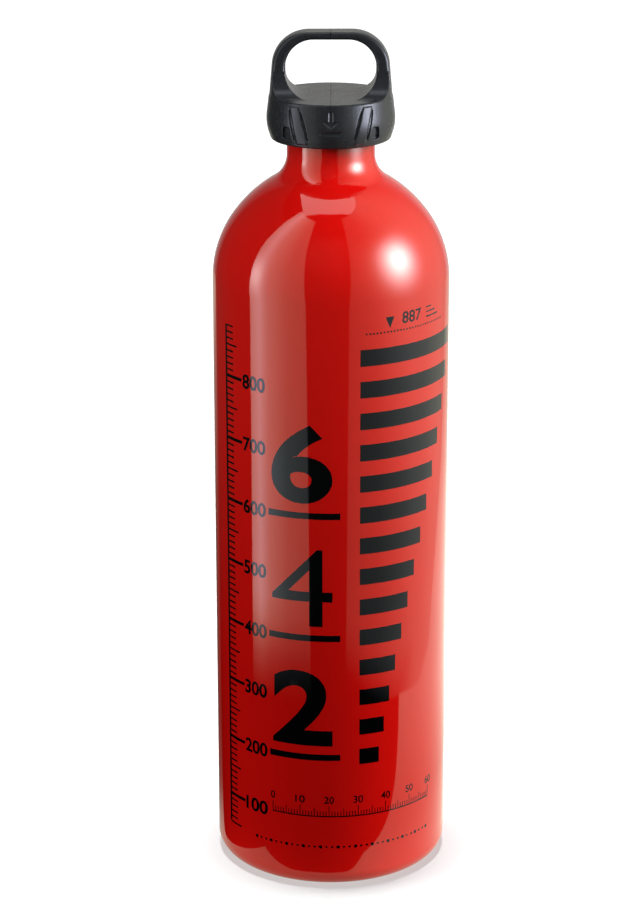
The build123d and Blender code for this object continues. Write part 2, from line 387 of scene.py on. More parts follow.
@dataclass(frozen=True)
class MouldedPlastic:
    """Glass-filled plastic from a fine-eroded mould, rubbed lighter on its edges. Sizes in mm.

    A parting above 0 is half the width of the mould's parting line, which crosses the top of the piece
    from front to back above the parting's foot.
    """

    name: str
    colour: Colour = (0.0185, 0.0205, 0.0240)
    pale_colour: Colour = (0.0220, 0.0240, 0.0280)
    rubbed_colour: Colour = (0.048, 0.051, 0.056)
    line_colour: Colour = (0.002, 0.002, 0.003)
    smooth: float = 0.25
    dull: float = 0.28
    gloss: float = 0.25
    gloss_tint: Colour = (0.85, 0.89, 1.0)
    grain_depth: float = 0.0055
    sink_depth: float = 0.005
    sharp_edge: Point = (0.53, 0.62)
    scratch_share: float = 0.25
    parting: float = 0.0
    parting_core: float = 0.3
    parting_foot: float = 266.0
    parting_fade: float = 0.6
    parting_share: float = 0.8
    parting_depth: float = 0.05
    parting_gloss: float = 0.08
    flow: Pattern = Pattern(size=5, detail=5, roughness=0.6, start=0.35, end=0.7)
    handled: Pattern = Pattern(size=2.2, detail=5, roughness=0.65, start=0.42, end=0.62)
    scratches: Pattern = Pattern(size=0.5, detail=2, start=0.66, end=0.74, stretch=(0.06, 1, 1))
    sink: Pattern = Pattern(size=9, detail=1, roughness=0.4)
    sheen: Pattern = Pattern(size=3.5)
    grain: Pattern = Pattern(size=0.32, detail=2)

    def rubbed(self, recipe: Recipe) -> Socket:
        """Where the surface is rubbed or scratched lighter.

        Args:
            recipe: The material in the making.

        Returns:
            The share of rubbed plastic.
        """
        pointed = recipe.add("ShaderNodeNewGeometry").outputs["Pointiness"]
        edge = recipe.span(pointed, *self.sharp_edge)
        worn = recipe.combine("MULTIPLY", edge, recipe.patches(self.handled))
        scratches = recipe.combine("MULTIPLY", recipe.patches(self.scratches), self.scratch_share)
        return recipe.combine("MAXIMUM", worn, scratches)

    def parting_line(self, recipe: Recipe) -> Socket:
        """Where the mould's parting line shows.

        Args:
            recipe: The material in the making.

        Returns:
            The share of the line.
        """
        aside = recipe.combine("ABSOLUTE", recipe.along("X"), 0.0)
        line = recipe.span(aside, self.parting_core * self.parting * MM, self.parting * MM, 1.0, 0.0)
        top = self.parting_foot + self.parting_fade
        above = recipe.span(recipe.along("Z"), self.parting_foot * MM, top * MM)
        return recipe.combine("MULTIPLY", line, above)

    def make(self) -> bpy.types.Material:
        """Mixes the plastic, grains it and rubs its edges.

        Returns:
            The material.
        """
        recipe = Recipe(self.name)
        ground = recipe.tint(recipe.patches(self.flow), self.colour, self.pale_colour)
        surface = recipe.tint(self.rubbed(recipe), ground, self.rubbed_colour)
        under = recipe.relief(recipe.noise(self.sink), self.sink_depth)
        if self.parting:
            line = self.parting_line(recipe)
            share = recipe.combine("MULTIPLY", line, self.parting_share)
            surface = recipe.tint(share, surface, self.line_colour)
            under = recipe.relief(line, self.parting_depth, under)
            recipe.feed("Specular IOR Level", recipe.span(line, 0.0, 1.0, self.gloss, self.parting_gloss))
        recipe.feed("Base Color", surface)
        recipe.feed("Roughness", recipe.patches(self.sheen, self.smooth, self.dull))
        recipe.feed("Normal", recipe.relief(recipe.noise(self.grain), self.grain_depth, under))
        recipe.fix(IOR=1.5, Specular_IOR_Level=self.gloss, Specular_Tint=(*self.gloss_tint, 1))
        return recipe.material


@dataclass(frozen=True)
class Rubber:
    """Moulded seal rubber with a bloom of dust. Depths in mm."""

    colour: Colour = (0.012, 0.012, 0.013)
    dust_colour: Colour = (0.06, 0.058, 0.055)
    dust_share: float = 0.7
    smooth: float = 0.52
    dull: float = 0.72
    grain_depth: float = 0.006
    bloom: Pattern = Pattern(size=1.4, detail=5, roughness=0.65, start=0.48, end=0.72)
    sheen: Pattern = Pattern(size=0.8)
    grain: Pattern = Pattern(size=0.12)

    def make(self) -> bpy.types.Material:
        """Dusts and grains the rubber.

        Returns:
            The material.
        """
        recipe = Recipe("seal_rubber")
        bloom = recipe.patches(self.bloom, 0.0, self.dust_share)
        recipe.feed("Base Color", recipe.tint(bloom, self.colour, self.dust_colour))
        recipe.feed("Roughness", recipe.patches(self.sheen, self.smooth, self.dull))
        recipe.feed("Normal", recipe.relief(recipe.noise(self.grain), self.grain_depth))
        recipe.fix(IOR=1.5)
        return recipe.material


@dataclass(frozen=True)
class SpringSteel:
    """Drawn stainless wire with fine draw marks. Depths in mm."""

    colour: Colour = (0.63, 0.61, 0.58)
    dark_colour: Colour = (0.42, 0.40, 0.38)
    smooth: float = 0.2
    dull: float = 0.36
    mark_depth: float = 0.004
    marks: Pattern = Pattern(size=0.12, roughness=0.6, start=0.4, stretch=(0.15, 0.15, 1))
    sheen: Pattern = Pattern(size=0.6)

    def make(self) -> bpy.types.Material:
        """Draws the marks along the wire.

        Returns:
            The material.
        """
        recipe = Recipe("spring_steel")
        marks = recipe.noise(self.marks)
        shade = recipe.span(marks, self.marks.start, self.marks.end)
        recipe.feed("Base Color", recipe.tint(shade, self.colour, self.dark_colour))
        recipe.feed("Roughness", recipe.patches(self.sheen, self.smooth, self.dull))
        recipe.feed("Normal", recipe.relief(marks, self.mark_depth))
        recipe.fix(Metallic=1.0)
        return recipe.material


@dataclass(frozen=True)
class Paper:
    """The studio's paper floor: pale, and lifted to white where no shadow falls. Distances in metres."""

    albedo: float = 0.3
    fibre_shade: float = 0.985
    near_lift: float = 0.53
    far_lift: float = 1.0
    near: float = 0.25
    far: float = 0.8
    tint: Colour = (0.985, 1.0, 1.0)
    fibre: Pattern = Pattern(size=1.2, detail=4, roughness=0.6)

    def make(self) -> bpy.types.Material:
        """Lays the fibres and lifts the paper where it is seen or mirrored.

        Returns:
            The material.
        """
        recipe = Recipe("paper_floor")
        low = tuple(self.albedo * self.fibre_shade * part for part in self.tint)
        high = tuple(self.albedo * part for part in self.tint)
        recipe.feed("Base Color", recipe.tint(recipe.patches(self.fibre), low, high))
        recipe.fix(Roughness=1.0, Specular_IOR_Level=0.0, Emission_Color=(1, 1, 1, 1))
        seen = recipe.add("ShaderNodeLightPath")
        direct = recipe.combine("MAXIMUM", seen.outputs["Is Camera Ray"], seen.outputs["Is Glossy Ray"])
        direct = recipe.combine("MAXIMUM", direct, seen.outputs["Is Transmission Ray"])
        # The glow is painted light on the paper for camera rays: weaker near the bottle, where it sets the
        # grey of the floor lamp's shadow, and full white far away.
        distance = recipe.add("ShaderNodeVectorMath", operation="LENGTH")
        recipe.join(recipe.place, distance.inputs[0])
        lift = recipe.span(distance.outputs["Value"], self.near, self.far, self.near_lift, self.far_lift)
        recipe.feed("Emission Strength", recipe.combine("MULTIPLY", direct, lift))
        return recipe.material


@dataclass(frozen=True)
class Glow:
    """The light that a reflecting card sends out, read from its own corners.

    It goes from warm where the card is dim to white where it is bright, and less of it is bounced.
    """

    name: str = "card_glow"
    layer: str = "glow"
    warmth: Colour = (1.0, 0.985, 0.81)
    white: Colour = (0.98, 0.985, 1.05)
    dim: float = 0.9
    bright: float = 4.5
    bounce: float = 0.75

    def make(self) -> bpy.types.Material:
        """Reads the card's light and tints it.

        Returns:
            The material.
        """
        recipe = Recipe(self.name)
        recipe.tree.nodes.remove(recipe.shader)
        lamp = recipe.add("ShaderNodeEmission")
        light = recipe.add("ShaderNodeAttribute", attribute_name=self.layer).outputs["Fac"]
        path = recipe.add("ShaderNodeLightPath")
        kept = recipe.add("ShaderNodeMapRange")
        kept.inputs["To Min"].default_value = 1.0
        kept.inputs["To Max"].default_value = self.bounce
        recipe.join(path.outputs["Is Diffuse Ray"], kept.inputs["Value"])
        level = recipe.add("ShaderNodeMath", operation="MULTIPLY")
        recipe.join(light, level.inputs[0])
        recipe.join(kept.outputs["Result"], level.inputs[1])
        recipe.join(level.outputs["Value"], lamp.inputs["Strength"])
        share = recipe.span(light, self.dim, self.bright)
        recipe.join(recipe.tint(share, self.warmth, self.white), lamp.inputs["Color"])
        recipe.join(lamp.outputs["Emission"], recipe.tree.nodes["Material Output"].inputs["Surface"])
        return recipe.material


# Meshes


def arc(centre: Point, radius: float, start: float, end: float, step: float = 1.0) -> list[Point]:
    """Points along an arc of a profile.

    Args:
        centre: The centre (r, z) in millimetres.
        radius: The radius in millimetres.
        start: The first angle in degrees, from the r axis towards z.
        end: The last angle in degrees.
        step: The longest chord in millimetres.

    Returns:
        The points (r, z), both ends included.
    """
    count = max(2, ceil(abs(radians(end - start)) * radius / step))
    turns = [radians(start + (end - start) * i / count) for i in range(count + 1)]
    return [(centre[0] + radius * cos(t), centre[1] + radius * sin(t)) for t in turns]


def run(start: Point, end: Point, step: float) -> list[Point]:
    """Points along a straight part of a profile.

    Args:
        start: The first point (r, z) in millimetres.
        end: The last point.
        step: The longest piece in millimetres.

    Returns:
        The points, both ends included.
    """
    count = max(1, ceil(hypot(end[0] - start[0], end[1] - start[1]) / step))
    return [
        (start[0] + (end[0] - start[0]) * i / count, start[1] + (end[1] - start[1]) * i / count)
        for i in range(count + 1)
    ]


def put_in_scene(name: str, data: bpy.types.ID) -> bpy.types.Object:
    """Makes an object of a mesh, lamp, camera or text, and links it to the scene.

    Args:
        name: The object's name.
        data: What it shows.

    Returns:
        The object.
    """
    piece = bpy.data.objects.new(name, data)
    bpy.context.scene.collection.objects.link(piece)
    return piece


def read_mesh(piece: bpy.types.Object) -> bpy.types.Mesh:
    """A piece's shape with its modifiers applied, as a new mesh; the piece itself is removed.

    Args:
        piece: A draft that is no longer needed.

    Returns:
        The mesh.
    """
    bpy.context.view_layer.update()
    shape = piece.evaluated_get(bpy.context.evaluated_depsgraph_get())
    mesh = bpy.data.meshes.new_from_object(shape)
    bpy.data.objects.remove(piece)
    return mesh


def soften_shading(mesh: bpy.types.Mesh, crease: float = 32.0) -> None:
    """Shades a mesh smooth, apart from edges sharper than an angle in degrees."""
    mesh.shade_smooth()
    mesh.set_sharp_from_angle(angle=radians(crease))


@dataclass
class Flask:
    """The drawn flask: domed base, straight wall, two-arc shoulder, threaded neck. Sizes in mm.

    The enamel stops short of the CAD surface by the thickness of the ink. The thread groove starts at a
    height and an angle (its lead), and its first few hundredths of a turn stay uncut (its blunt end).
    """

    outer_radius: float = 39.5
    ink_room: float = 0.03
    wall: float = 1.0
    base_thickness: float = 1.4
    base_corner: float = 6.1
    ring_inner: float = 30.0
    ring_gap: float = 0.15
    dome_height: float = 5.0
    wall_top: float = 205.5
    shoulder_low: float = 37.1
    shoulder_turn: float = 36.35
    shoulder_high: float = 44.45
    neck_fillet: float = 9.45
    neck_radius: float = 14.55
    lip_height: float = 256.0
    lip_edge: float = 0.8
    cone_radius: float = 13.0
    bore_radius: float = 10.2
    bore_fillet: float = 4.0
    inner_shoulder: float = 37.5
    inner_shoulder_centre: Point = (1.0, 204.0)
    pitch: float = 3.0
    groove_start: float = 245.683
    groove_lead: float = -110.0
    groove_turns: float = 4.0
    groove_floor: float = 11.3
    groove_floor_half: float = 0.497
    groove_slope: float = 0.34375
    groove_blunt: float = 0.04
    groove_margin: float = 1.2
    segments: int = 270
    enamel: Enamel = Enamel()
    bare: BareAluminium = BareAluminium()

    def groove_reach(self, angle: float, height: float) -> float:
        """How far out the thread groove reaches.

        Args:
            angle: The angle round the axis in degrees, from the x axis.
            height: The height in millimetres.

        Returns:
            The radius of the groove's surface there, or 0 outside it.
        """
        turn = ((angle - self.groove_lead) % 360) / 360
        nearest = round((height - self.groove_start) / self.pitch - turn)
        along = nearest + turn
        if along < 0 or along > self.groove_turns:
            return 0.0
        offset = abs(height - self.groove_start - along * self.pitch)
        slant = max(0.0, offset - self.groove_floor_half) / self.groove_slope
        return (self.groove_floor - slant) if along > self.groove_blunt else self.bore_radius

    def dome_radius(self) -> float:
        """The radius of the dome under the base, from its height and the ring's width."""
        return (self.ring_inner**2 + self.dome_height**2) / (2 * self.dome_height)

    def outside(self) -> list[Point]:
        """The enamelled profile.

        Returns:
            Its points, from the middle of the base to the lip.
        """
        body = self.outer_radius - self.ink_room
        dome = self.dome_radius()
        ring_angle = degrees(acos(self.ring_inner / dome))
        corner = (body - self.base_corner, self.base_corner)
        low = (body - self.shoulder_low, self.wall_top)
        turn = radians(self.shoulder_turn)
        shift = self.shoulder_low - self.shoulder_high
        high = (low[0] + shift * cos(turn), low[1] + shift * sin(turn))
        reach = self.shoulder_high + self.neck_fillet
        neck_turn = acos((self.neck_radius + self.neck_fillet - high[0]) / reach)
        neck = (high[0] + reach * cos(neck_turn), high[1] + reach * sin(neck_turn))
        lip = (self.neck_radius - self.lip_edge, self.lip_height - self.lip_edge)
        return (
            arc((0, self.dome_height - dome), dome, 90, ring_angle, step=1.5)
            + run((self.ring_inner + self.ring_gap, 0), (corner[0], 0), step=0.6)
            + arc(corner, self.base_corner, -90, 0, step=0.4)[1:]
            + run((body, corner[1]), (body, self.wall_top), step=8.0)[1:]
            + arc(low, self.shoulder_low, 0, self.shoulder_turn, step=0.8)[1:]
            + arc(high, self.shoulder_high, self.shoulder_turn, degrees(neck_turn), step=0.8)[1:]
            + arc(neck, self.neck_fillet, 180 + degrees(neck_turn), 180, step=0.5)[1:]
            + run((self.neck_radius, neck[1]), (self.neck_radius, lip[1]), step=1.0)[1:]
            + arc(lip, self.lip_edge, 0, 90, step=0.12)[1:]
        )

    def inside(self) -> list[Point]:
        """The bare profile.

        Returns:
            Its points, from the lip through the bore to the middle of the inner base.
        """
        lip = (self.neck_radius - self.lip_edge, self.lip_height)
        cone_top = (self.cone_radius, self.lip_height)
        cone_foot = (self.bore_radius, self.lip_height - (self.cone_radius - self.bore_radius))
        centre = self.inner_shoulder_centre
        reach = self.inner_shoulder + self.bore_fillet
        turn = acos((self.bore_radius + self.bore_fillet - centre[0]) / reach)
        bore = (centre[0] + reach * cos(turn), centre[1] + reach * sin(turn))
        inner = self.outer_radius - self.wall
        corner = self.base_corner - self.base_thickness
        dome = self.dome_radius()
        inner_dome = dome + self.base_thickness
        ring = (inner_dome**2 - (inner_dome - self.dome_height) ** 2) ** 0.5
        ring_angle = degrees(acos(ring / inner_dome))
        return (
            run(lip, cone_top, step=0.2)
            + run(cone_top, cone_foot, step=0.2)[1:]
            + run(cone_foot, (self.bore_radius, bore[1]), step=0.2)[1:]
            + arc(bore, self.bore_fillet, 180, 180 + degrees(turn), step=0.5)[1:]
            + arc(centre, self.inner_shoulder, degrees(turn), 0, step=1.2)[1:]
            + run((inner, centre[1]), (inner, self.base_corner), step=8.0)[1:]
            + arc((inner - corner, self.base_corner), corner, 0, -90, step=0.6)[1:]
            + run((inner - corner, self.base_thickness), (ring, self.base_thickness), step=1.0)[1:]
            + arc((0, self.dome_height - dome), inner_dome, ring_angle, 90, step=1.5)[1:]
        )

    def turned(self) -> bpy.types.Mesh:
        """Turns both profiles into one closed wall and cuts the thread groove into the bore.

        Returns:
            The mesh, with the enamel as its first finish and bare metal, after the lip, as its second.
        """
        outside = self.outside()
        profile = outside + self.inside()[1:]
        cut_foot = self.groove_start - self.groove_margin
        corners: list[Place] = []
        rings: list[list[int]] = []
        for index, (radius, height) in enumerate(profile):
            if radius < ON_AXIS:
                rings.append([len(corners)] * self.segments)
                corners.append((0.0, 0.0, height * MM))
                continue
            cut = index >= len(outside) and height > cut_foot and radius < self.groove_floor
            rings.append(list(range(len(corners), len(corners) + self.segments)))
            for k in range(self.segments):
                angle = 360 * k / self.segments
                reach = max(radius, self.groove_reach(angle, height)) if cut else radius
                turn = radians(angle)
                corners.append((reach * cos(turn) * MM, reach * sin(turn) * MM, height * MM))
        faces: list[tuple[int, ...]] = []
        finishes: list[int] = []
        for index in range(len(profile) - 1):
            below, above = rings[index], rings[index + 1]
            for k in range(self.segments):
                after = (k + 1) % self.segments
                face = (below[k], below[after], above[after], above[k])
                faces.append(tuple(dict.fromkeys(face)))
                finishes.append(0 if index < len(outside) - 1 else 1)
        mesh = bpy.data.meshes.new("flask")
        mesh.from_pydata(corners, [], faces)
        mesh.polygons.foreach_set("material_index", finishes)
        soften_shading(mesh)
        return mesh

    def build(self) -> list[bpy.types.Object]:
        """Makes the flask in place of its CAD node.

        Returns:
            The flask.
        """
        mesh = self.turned()
        mesh.materials.append(self.enamel.make())
        mesh.materials.append(self.bare.make())
        piece = put_in_scene("flask", mesh)
        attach(piece, Body.BOTTLE.value)
        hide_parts(Node.FLASK.value)
        return [piece]


class Artwork:
    """Flat ink shapes that are cut into narrow strips, thickened and laid round the wall."""

    def __init__(self, radius: float, thickness: float, strip: float = 1.2) -> None:
        """Starts an empty sheet.

        Args:
            radius: The outer radius of the ink in millimetres.
            thickness: The thickness of the ink in millimetres.
            strip: The width of a strip in millimetres.
        """
        self.radius = radius
        self.thickness = thickness
        self.strip = strip
        self.sheet = bmesh.new()

    def across(self, azimuth: float) -> float:
        """How far round the wall an angle in degrees from the front lies, in millimetres."""
        return radians(azimuth) * self.radius

    def outline(self, points: list[Point]) -> None:
        """Adds a filled shape with the given corners, in millimetres along and up the sheet."""
        self.sheet.faces.new([self.sheet.verts.new((x, z, 0)) for x, z in points])

    def box(self, left: float, right: float, low: float, high: float) -> None:
        """Adds a box between two places along the sheet and two heights, in millimetres."""
        self.outline([(left, low), (right, low), (right, high), (left, high)])

    def bar(self, start: float, end: float, middle: float, width: float) -> None:
        """Adds a level bar between two azimuths in degrees, round a height, with a width in mm."""
        self.box(self.across(start), self.across(end), middle - width / 2, middle + width / 2)

    def dot(self, azimuth: float, height: float, radius: float, sides: int = 12) -> None:
        """Adds a round dot.

        Args:
            azimuth: Where it lies, in degrees from the front.
            height: Its height in millimetres.
            radius: Its radius in millimetres.
            sides: The number of its sides.
        """
        middle = self.across(azimuth)
        turns = [2 * pi * i / sides for i in range(sides)]
        self.outline([(middle + radius * cos(t), height + radius * sin(t)) for t in turns])

    def figures(
        self, text: str, azimuth: float, foot: float, width: float, height: float, weight: float
    ) -> None:
        """Adds figures of a scale, fitted to a box.

        Args:
            text: The figures.
            azimuth: The middle of the box, in degrees from the front.
            foot: The foot of the box in millimetres.
            width: The width of the box in millimetres.
            height: The height of the box in millimetres.
            weight: How much bolder than plain they are, as a share of their size.
        """
        curve = bpy.data.curves.new("figures", "FONT")
        curve.body = text
        curve.offset = weight
        curve.resolution_u = 8
        curve.fill_mode = "FRONT"
        shape = read_mesh(put_in_scene("figures", curve))
        lows = [min(v.co[i] for v in shape.vertices) for i in (0, 1)]
        spans = [max(v.co[i] for v in shape.vertices) - lows[i] for i in (0, 1)]
        left = self.across(azimuth) - width / 2
        for corner in shape.vertices:
            corner.co = (
                left + (corner.co.x - lows[0]) / spans[0] * width,
                foot + (corner.co.y - lows[1]) / spans[1] * height,
                0,
            )
        self.sheet.from_mesh(shape)
        bpy.data.meshes.remove(shape)

    def cut(self) -> None:
        """Cuts the sheet into strips that can bend, with every face turned outwards."""
        sheet = self.sheet
        bmesh.ops.remove_doubles(sheet, verts=sheet.verts[:], dist=1e-4)
        reach = [v.co.x for v in sheet.verts]
        for k in range(floor(min(reach) / self.strip) + 1, ceil(max(reach) / self.strip)):
            everything = sheet.verts[:] + sheet.edges[:] + sheet.faces[:]
            bmesh.ops.bisect_plane(
                sheet, geom=everything, dist=1e-5, plane_co=(k * self.strip, 0, 0), plane_no=(1, 0, 0)
            )
        for face in sheet.faces:
            face.normal_update()
            if face.normal.z < 0:
                face.normal_flip()

    def thicken(self) -> None:
        """Adds the underside of the ink and closes its rims."""
        sheet = self.sheet
        under = bmesh.ops.duplicate(sheet, geom=sheet.faces[:])
        lower = [item for item in under["geom"] if isinstance(item, bmesh.types.BMFace)]
        for corner in {v for face in lower for v in face.verts}:
            corner.co.z = -self.thickness
        matches = under["vert_map"]
        known = set(lower)
        upper = [face for face in sheet.faces if face not in known]
        rims = dict.fromkeys(e for face in upper for e in face.edges if len(e.link_faces) == 1)
        for edge in rims:
            loop = edge.link_loops[0]
            first, second = loop.vert, loop.link_loop_next.vert
            sheet.faces.new((second, first, matches[first], matches[second]))
        for face in lower:
            face.normal_flip()

    def lay(self, name: str) -> bpy.types.Object:
        """Cuts the sheet into strips, thickens it and lays it round the wall.

        Args:
            name: The piece's name.

        Returns:
            The printed piece.
        """
        self.cut()
        self.thicken()
        for corner in self.sheet.verts:
            turn, radius = corner.co.x / self.radius, self.radius + corner.co.z
            height = corner.co.y
            corner.co = Vector((radius * sin(turn), -radius * cos(turn), height)) * MM
        mesh = bpy.data.meshes.new(name)
        self.sheet.to_mesh(mesh)
        self.sheet.free()
        soften_shading(mesh, crease=40)
        return put_in_scene(name, mesh)


def graded(mark: int, sizes: Place) -> float:
    """The size of a scale's mark: the first at each tenth, the second at each other fifth, or the third."""
    return sizes[0] if mark % 10 == 0 else sizes[1] if mark % 5 == 0 else sizes[2]


@dataclass
class LevelPrint:
    """The printed gauge: figures and bars for the filling level, a fine scale, a fill line and a rule.

    Azimuths are in degrees from the front, other sizes in mm and volumes in ml.
    """

    radius: float = 39.5
    thickness: float = 0.03
    empty_height: float = 5.5
    volume_per_height: float = 4.657
    full: float = 887.0
    figure_weights: tuple[tuple[int, float], ...] = ((2, 0.03), (4, 0.0), (6, 0.03))
    figure_azimuth: float = -14.5
    figure_width: float = 21.0
    figure_height: float = 27.0
    figure_gap: float = 4.2
    figure_bar: Point = (-31.5, 4.5)
    figure_bar_width: float = 2.2
    wedge_start: float = 14.0
    wedge_first: int = 4
    wedge_steps: int = 17
    wedge_shortest: float = 4.0
    wedge_growth: float = 62.0
    wedge_power: float = 1.6
    wedge_bar: float = 5.6
    step_volume: float = 50.0
    scale_azimuth: float = -60.0
    scale_first: int = 5
    scale_last: int = 88
    scale_lengths: Place = (12.0, 8.5, 5.5)
    scale_widths: Place = (1.1, 0.62, 0.62)
    scale_spine: float = 1.6
    scale_figure_shift: float = 19.8
    scale_figure_drop: float = 2.6
    fill_start: float = 17.0
    fill_dots: int = 28
    fill_spacing: float = 1.813
    fill_dot: float = 0.34
    fill_figure_azimuth: float = 42.0
    fill_figure_lift: float = 2.0
    pointer_azimuth: float = 29.0
    pointer_half: float = 1.6
    pointer_low: float = 1.3
    pointer_high: float = 5.0
    stroke_start: float = 52.0
    stroke_lengths: Place = (10.0, 7.0, 4.0)
    stroke_lift: float = 2.4
    stroke_spacing: float = 1.6
    stroke_width: float = 0.5
    rule_azimuth: float = -30.0
    rule_length: int = 60
    rule_height: float = 27.0
    rule_rises: Place = (3.6, 2.7, 1.7)
    rule_stroke: float = 0.26
    rule_base: float = 0.4
    rule_margin: float = 0.2
    rule_figure_lift: float = 4.5
    rule_digit_width: float = 1.7
    dots_start: float = -40.0
    dots: int = 34
    dots_spacing: float = 2.9
    dots_height: float = 15.5
    dot_large: float = 0.62
    dot_small: float = 0.4
    ink: Ink = Ink()

    def level(self, volume: float) -> float:
        """The height of the liquid for a volume in millilitres."""
        return self.empty_height + volume / self.volume_per_height

    def main_figures(self, art: Artwork) -> None:
        """Draws the large figures in hundreds of millilitres, each on its level bar.

        Args:
            art: The blank sheet.
        """
        for hundreds, weight in self.figure_weights:
            line = self.level(100 * hundreds)
            foot = line + self.figure_gap
            art.bar(*self.figure_bar, line, self.figure_bar_width)
            art.figures(
                str(hundreds), self.figure_azimuth, foot, self.figure_width, self.figure_height, weight
            )

    def level_wedge(self, art: Artwork) -> None:
        """Draws the bars on the right, longer the more the bottle holds.

        Args:
            art: The blank sheet.
        """
        for step in range(self.wedge_first, self.wedge_steps + 1):
            length = self.wedge_shortest + self.wedge_growth * (step / self.wedge_steps) ** self.wedge_power
            height = self.level(self.step_volume * step)
            art.bar(self.wedge_start, self.wedge_start + length, height, self.wedge_bar)

    def fine_scale(self, art: Artwork) -> None:
        """Draws the fine scale on the left, with a mark for each 10 ml and figures for each 100.

        Args:
            art: The blank sheet.
        """
        start = self.scale_azimuth
        for mark in range(self.scale_first, self.scale_last + 1):
            end = start + graded(mark, self.scale_lengths)
            art.bar(start, end, self.level(10 * mark), graded(mark, self.scale_widths))
        low, high = self.level(10 * self.scale_first), self.level(10 * self.scale_last)
        art.bar(start - self.scale_spine, start, (low + high) / 2, high - low)
        for volume in range(100, 10 * self.scale_last, 100):
            foot = self.level(volume) - self.scale_figure_drop
            middle = start + self.scale_figure_shift
            art.figures(str(volume), middle, foot, width=9.8, height=5.0, weight=0.025)

    def fill_line(self, art: Artwork) -> None:
        """Draws the dotted fill line, its figure, three plain strokes and a pointer.

        Args:
            art: The blank sheet.
        """
        line = self.level(self.full)
        for k in range(self.fill_dots):
            art.dot(self.fill_start + k * self.fill_spacing, line, self.fill_dot)
        foot = line + self.fill_figure_lift
        volume = str(round(self.full))
        art.figures(volume, self.fill_figure_azimuth, foot, width=8.4, height=4.0, weight=0.015)
        for k, length in enumerate(self.stroke_lengths):
            middle = line + self.stroke_lift + self.stroke_spacing * k
            art.bar(self.stroke_start, self.stroke_start + length, middle, self.stroke_width)
        tip, low, high = art.across(self.pointer_azimuth), line + self.pointer_low, line + self.pointer_high
        art.outline([(tip, low), (tip + self.pointer_half, high), (tip - self.pointer_half, high)])

    def foot_scale(self, art: Artwork) -> None:
        """Draws the plain millimetre rule near the foot, with a figure for each 10 mm.

        Args:
            art: The blank sheet.
        """
        start, base = art.across(self.rule_azimuth), self.rule_height
        for mark in range(self.rule_length + 1):
            left, right = start + mark - self.rule_stroke / 2, start + mark + self.rule_stroke / 2
            art.box(left, right, base, base + graded(mark, self.rule_rises))
        end = self.rule_azimuth + degrees(self.rule_length / self.radius)
        start_bar, end_bar = self.rule_azimuth - self.rule_margin, end + self.rule_margin
        art.bar(start_bar, end_bar, base - self.rule_base / 2, self.rule_base)
        for mark in range(0, self.rule_length + 1, 10):
            place = self.rule_azimuth + degrees(mark / self.radius)
            foot, width = base + self.rule_figure_lift, self.rule_digit_width * len(str(mark))
            art.figures(str(mark), place, foot, width, height=2.7, weight=0.012)

    def foot_dots(self, art: Artwork) -> None:
        """Draws a row of dots across the front, near the foot of the wall, each third one larger.

        Args:
            art: The blank sheet.
        """
        for k in range(self.dots):
            radius = self.dot_large if k % 3 == 0 else self.dot_small
            art.dot(self.dots_start + self.dots_spacing * k, self.dots_height, radius)

    def build(self) -> list[bpy.types.Object]:
        """Prints every part of the gauge on the flask.

        Returns:
            The printed pieces.
        """
        motifs = {
            "level_figures": self.main_figures,
            "level_wedge": self.level_wedge,
            "fine_scale": self.fine_scale,
            "fill_line": self.fill_line,
            "foot_scale": self.foot_scale,
            "foot_dots": self.foot_dots,
        }
        ink = self.ink.make()
        pieces = []
        for name, draw in motifs.items():
            art = Artwork(self.radius, self.thickness)
            draw(art)
            piece = art.lay(name)
            piece.data.materials.append(ink)
            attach(piece, Body.BOTTLE.value)
            pieces.append(piece)
        return pieces


def dress(node: Node, material: bpy.types.Material) -> bpy.types.Object:
    """Gives a CAD node a material.

    Args:
        node: The node.
        material: Its material.

    Returns:
        The node's object.
    """
    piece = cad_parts[node.value]
    for place in piece.material_slots:
        place.material = material
    return piece


@dataclass
class Closure:
    """The hidden working parts that keep their shape: the threaded plug and its seal."""

    plastic: MouldedPlastic = MouldedPlastic(
        "stopper_plastic", smooth=0.38, dull=0.48, grain=Pattern(size=0.4, detail=2)
    )
    rubber: Rubber = Rubber()

    def build(self) -> list[bpy.types.Object]:
        """Gives the working parts their finishes and returns both."""
        return [dress(Node.STOPPER, self.plastic.make()), dress(Node.SEAL, self.rubber.make())]


@dataclass
class Spring:
    """The return spring, a coil that shortens as the cover is pressed. Lengths in mm."""

    foot: float = 259.65
    top: float = 264.75
    travel: float = 2.0
    steel: SpringSteel = SpringSteel()

    def build(self) -> list[bpy.types.Object]:
        """Makes the spring in place of its CAD node, with a mesh of its own.

        Returns:
            The spring.
        """
        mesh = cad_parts[Node.SPRING.value].data.copy()
        mesh.materials.clear()
        mesh.materials.append(self.steel.make())
        mesh.shade_smooth()
        piece = put_in_scene("spring_coil", mesh)
        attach(piece, Body.SPRING.value)
        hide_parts(Node.SPRING.value)
        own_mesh(piece)
        return [piece]


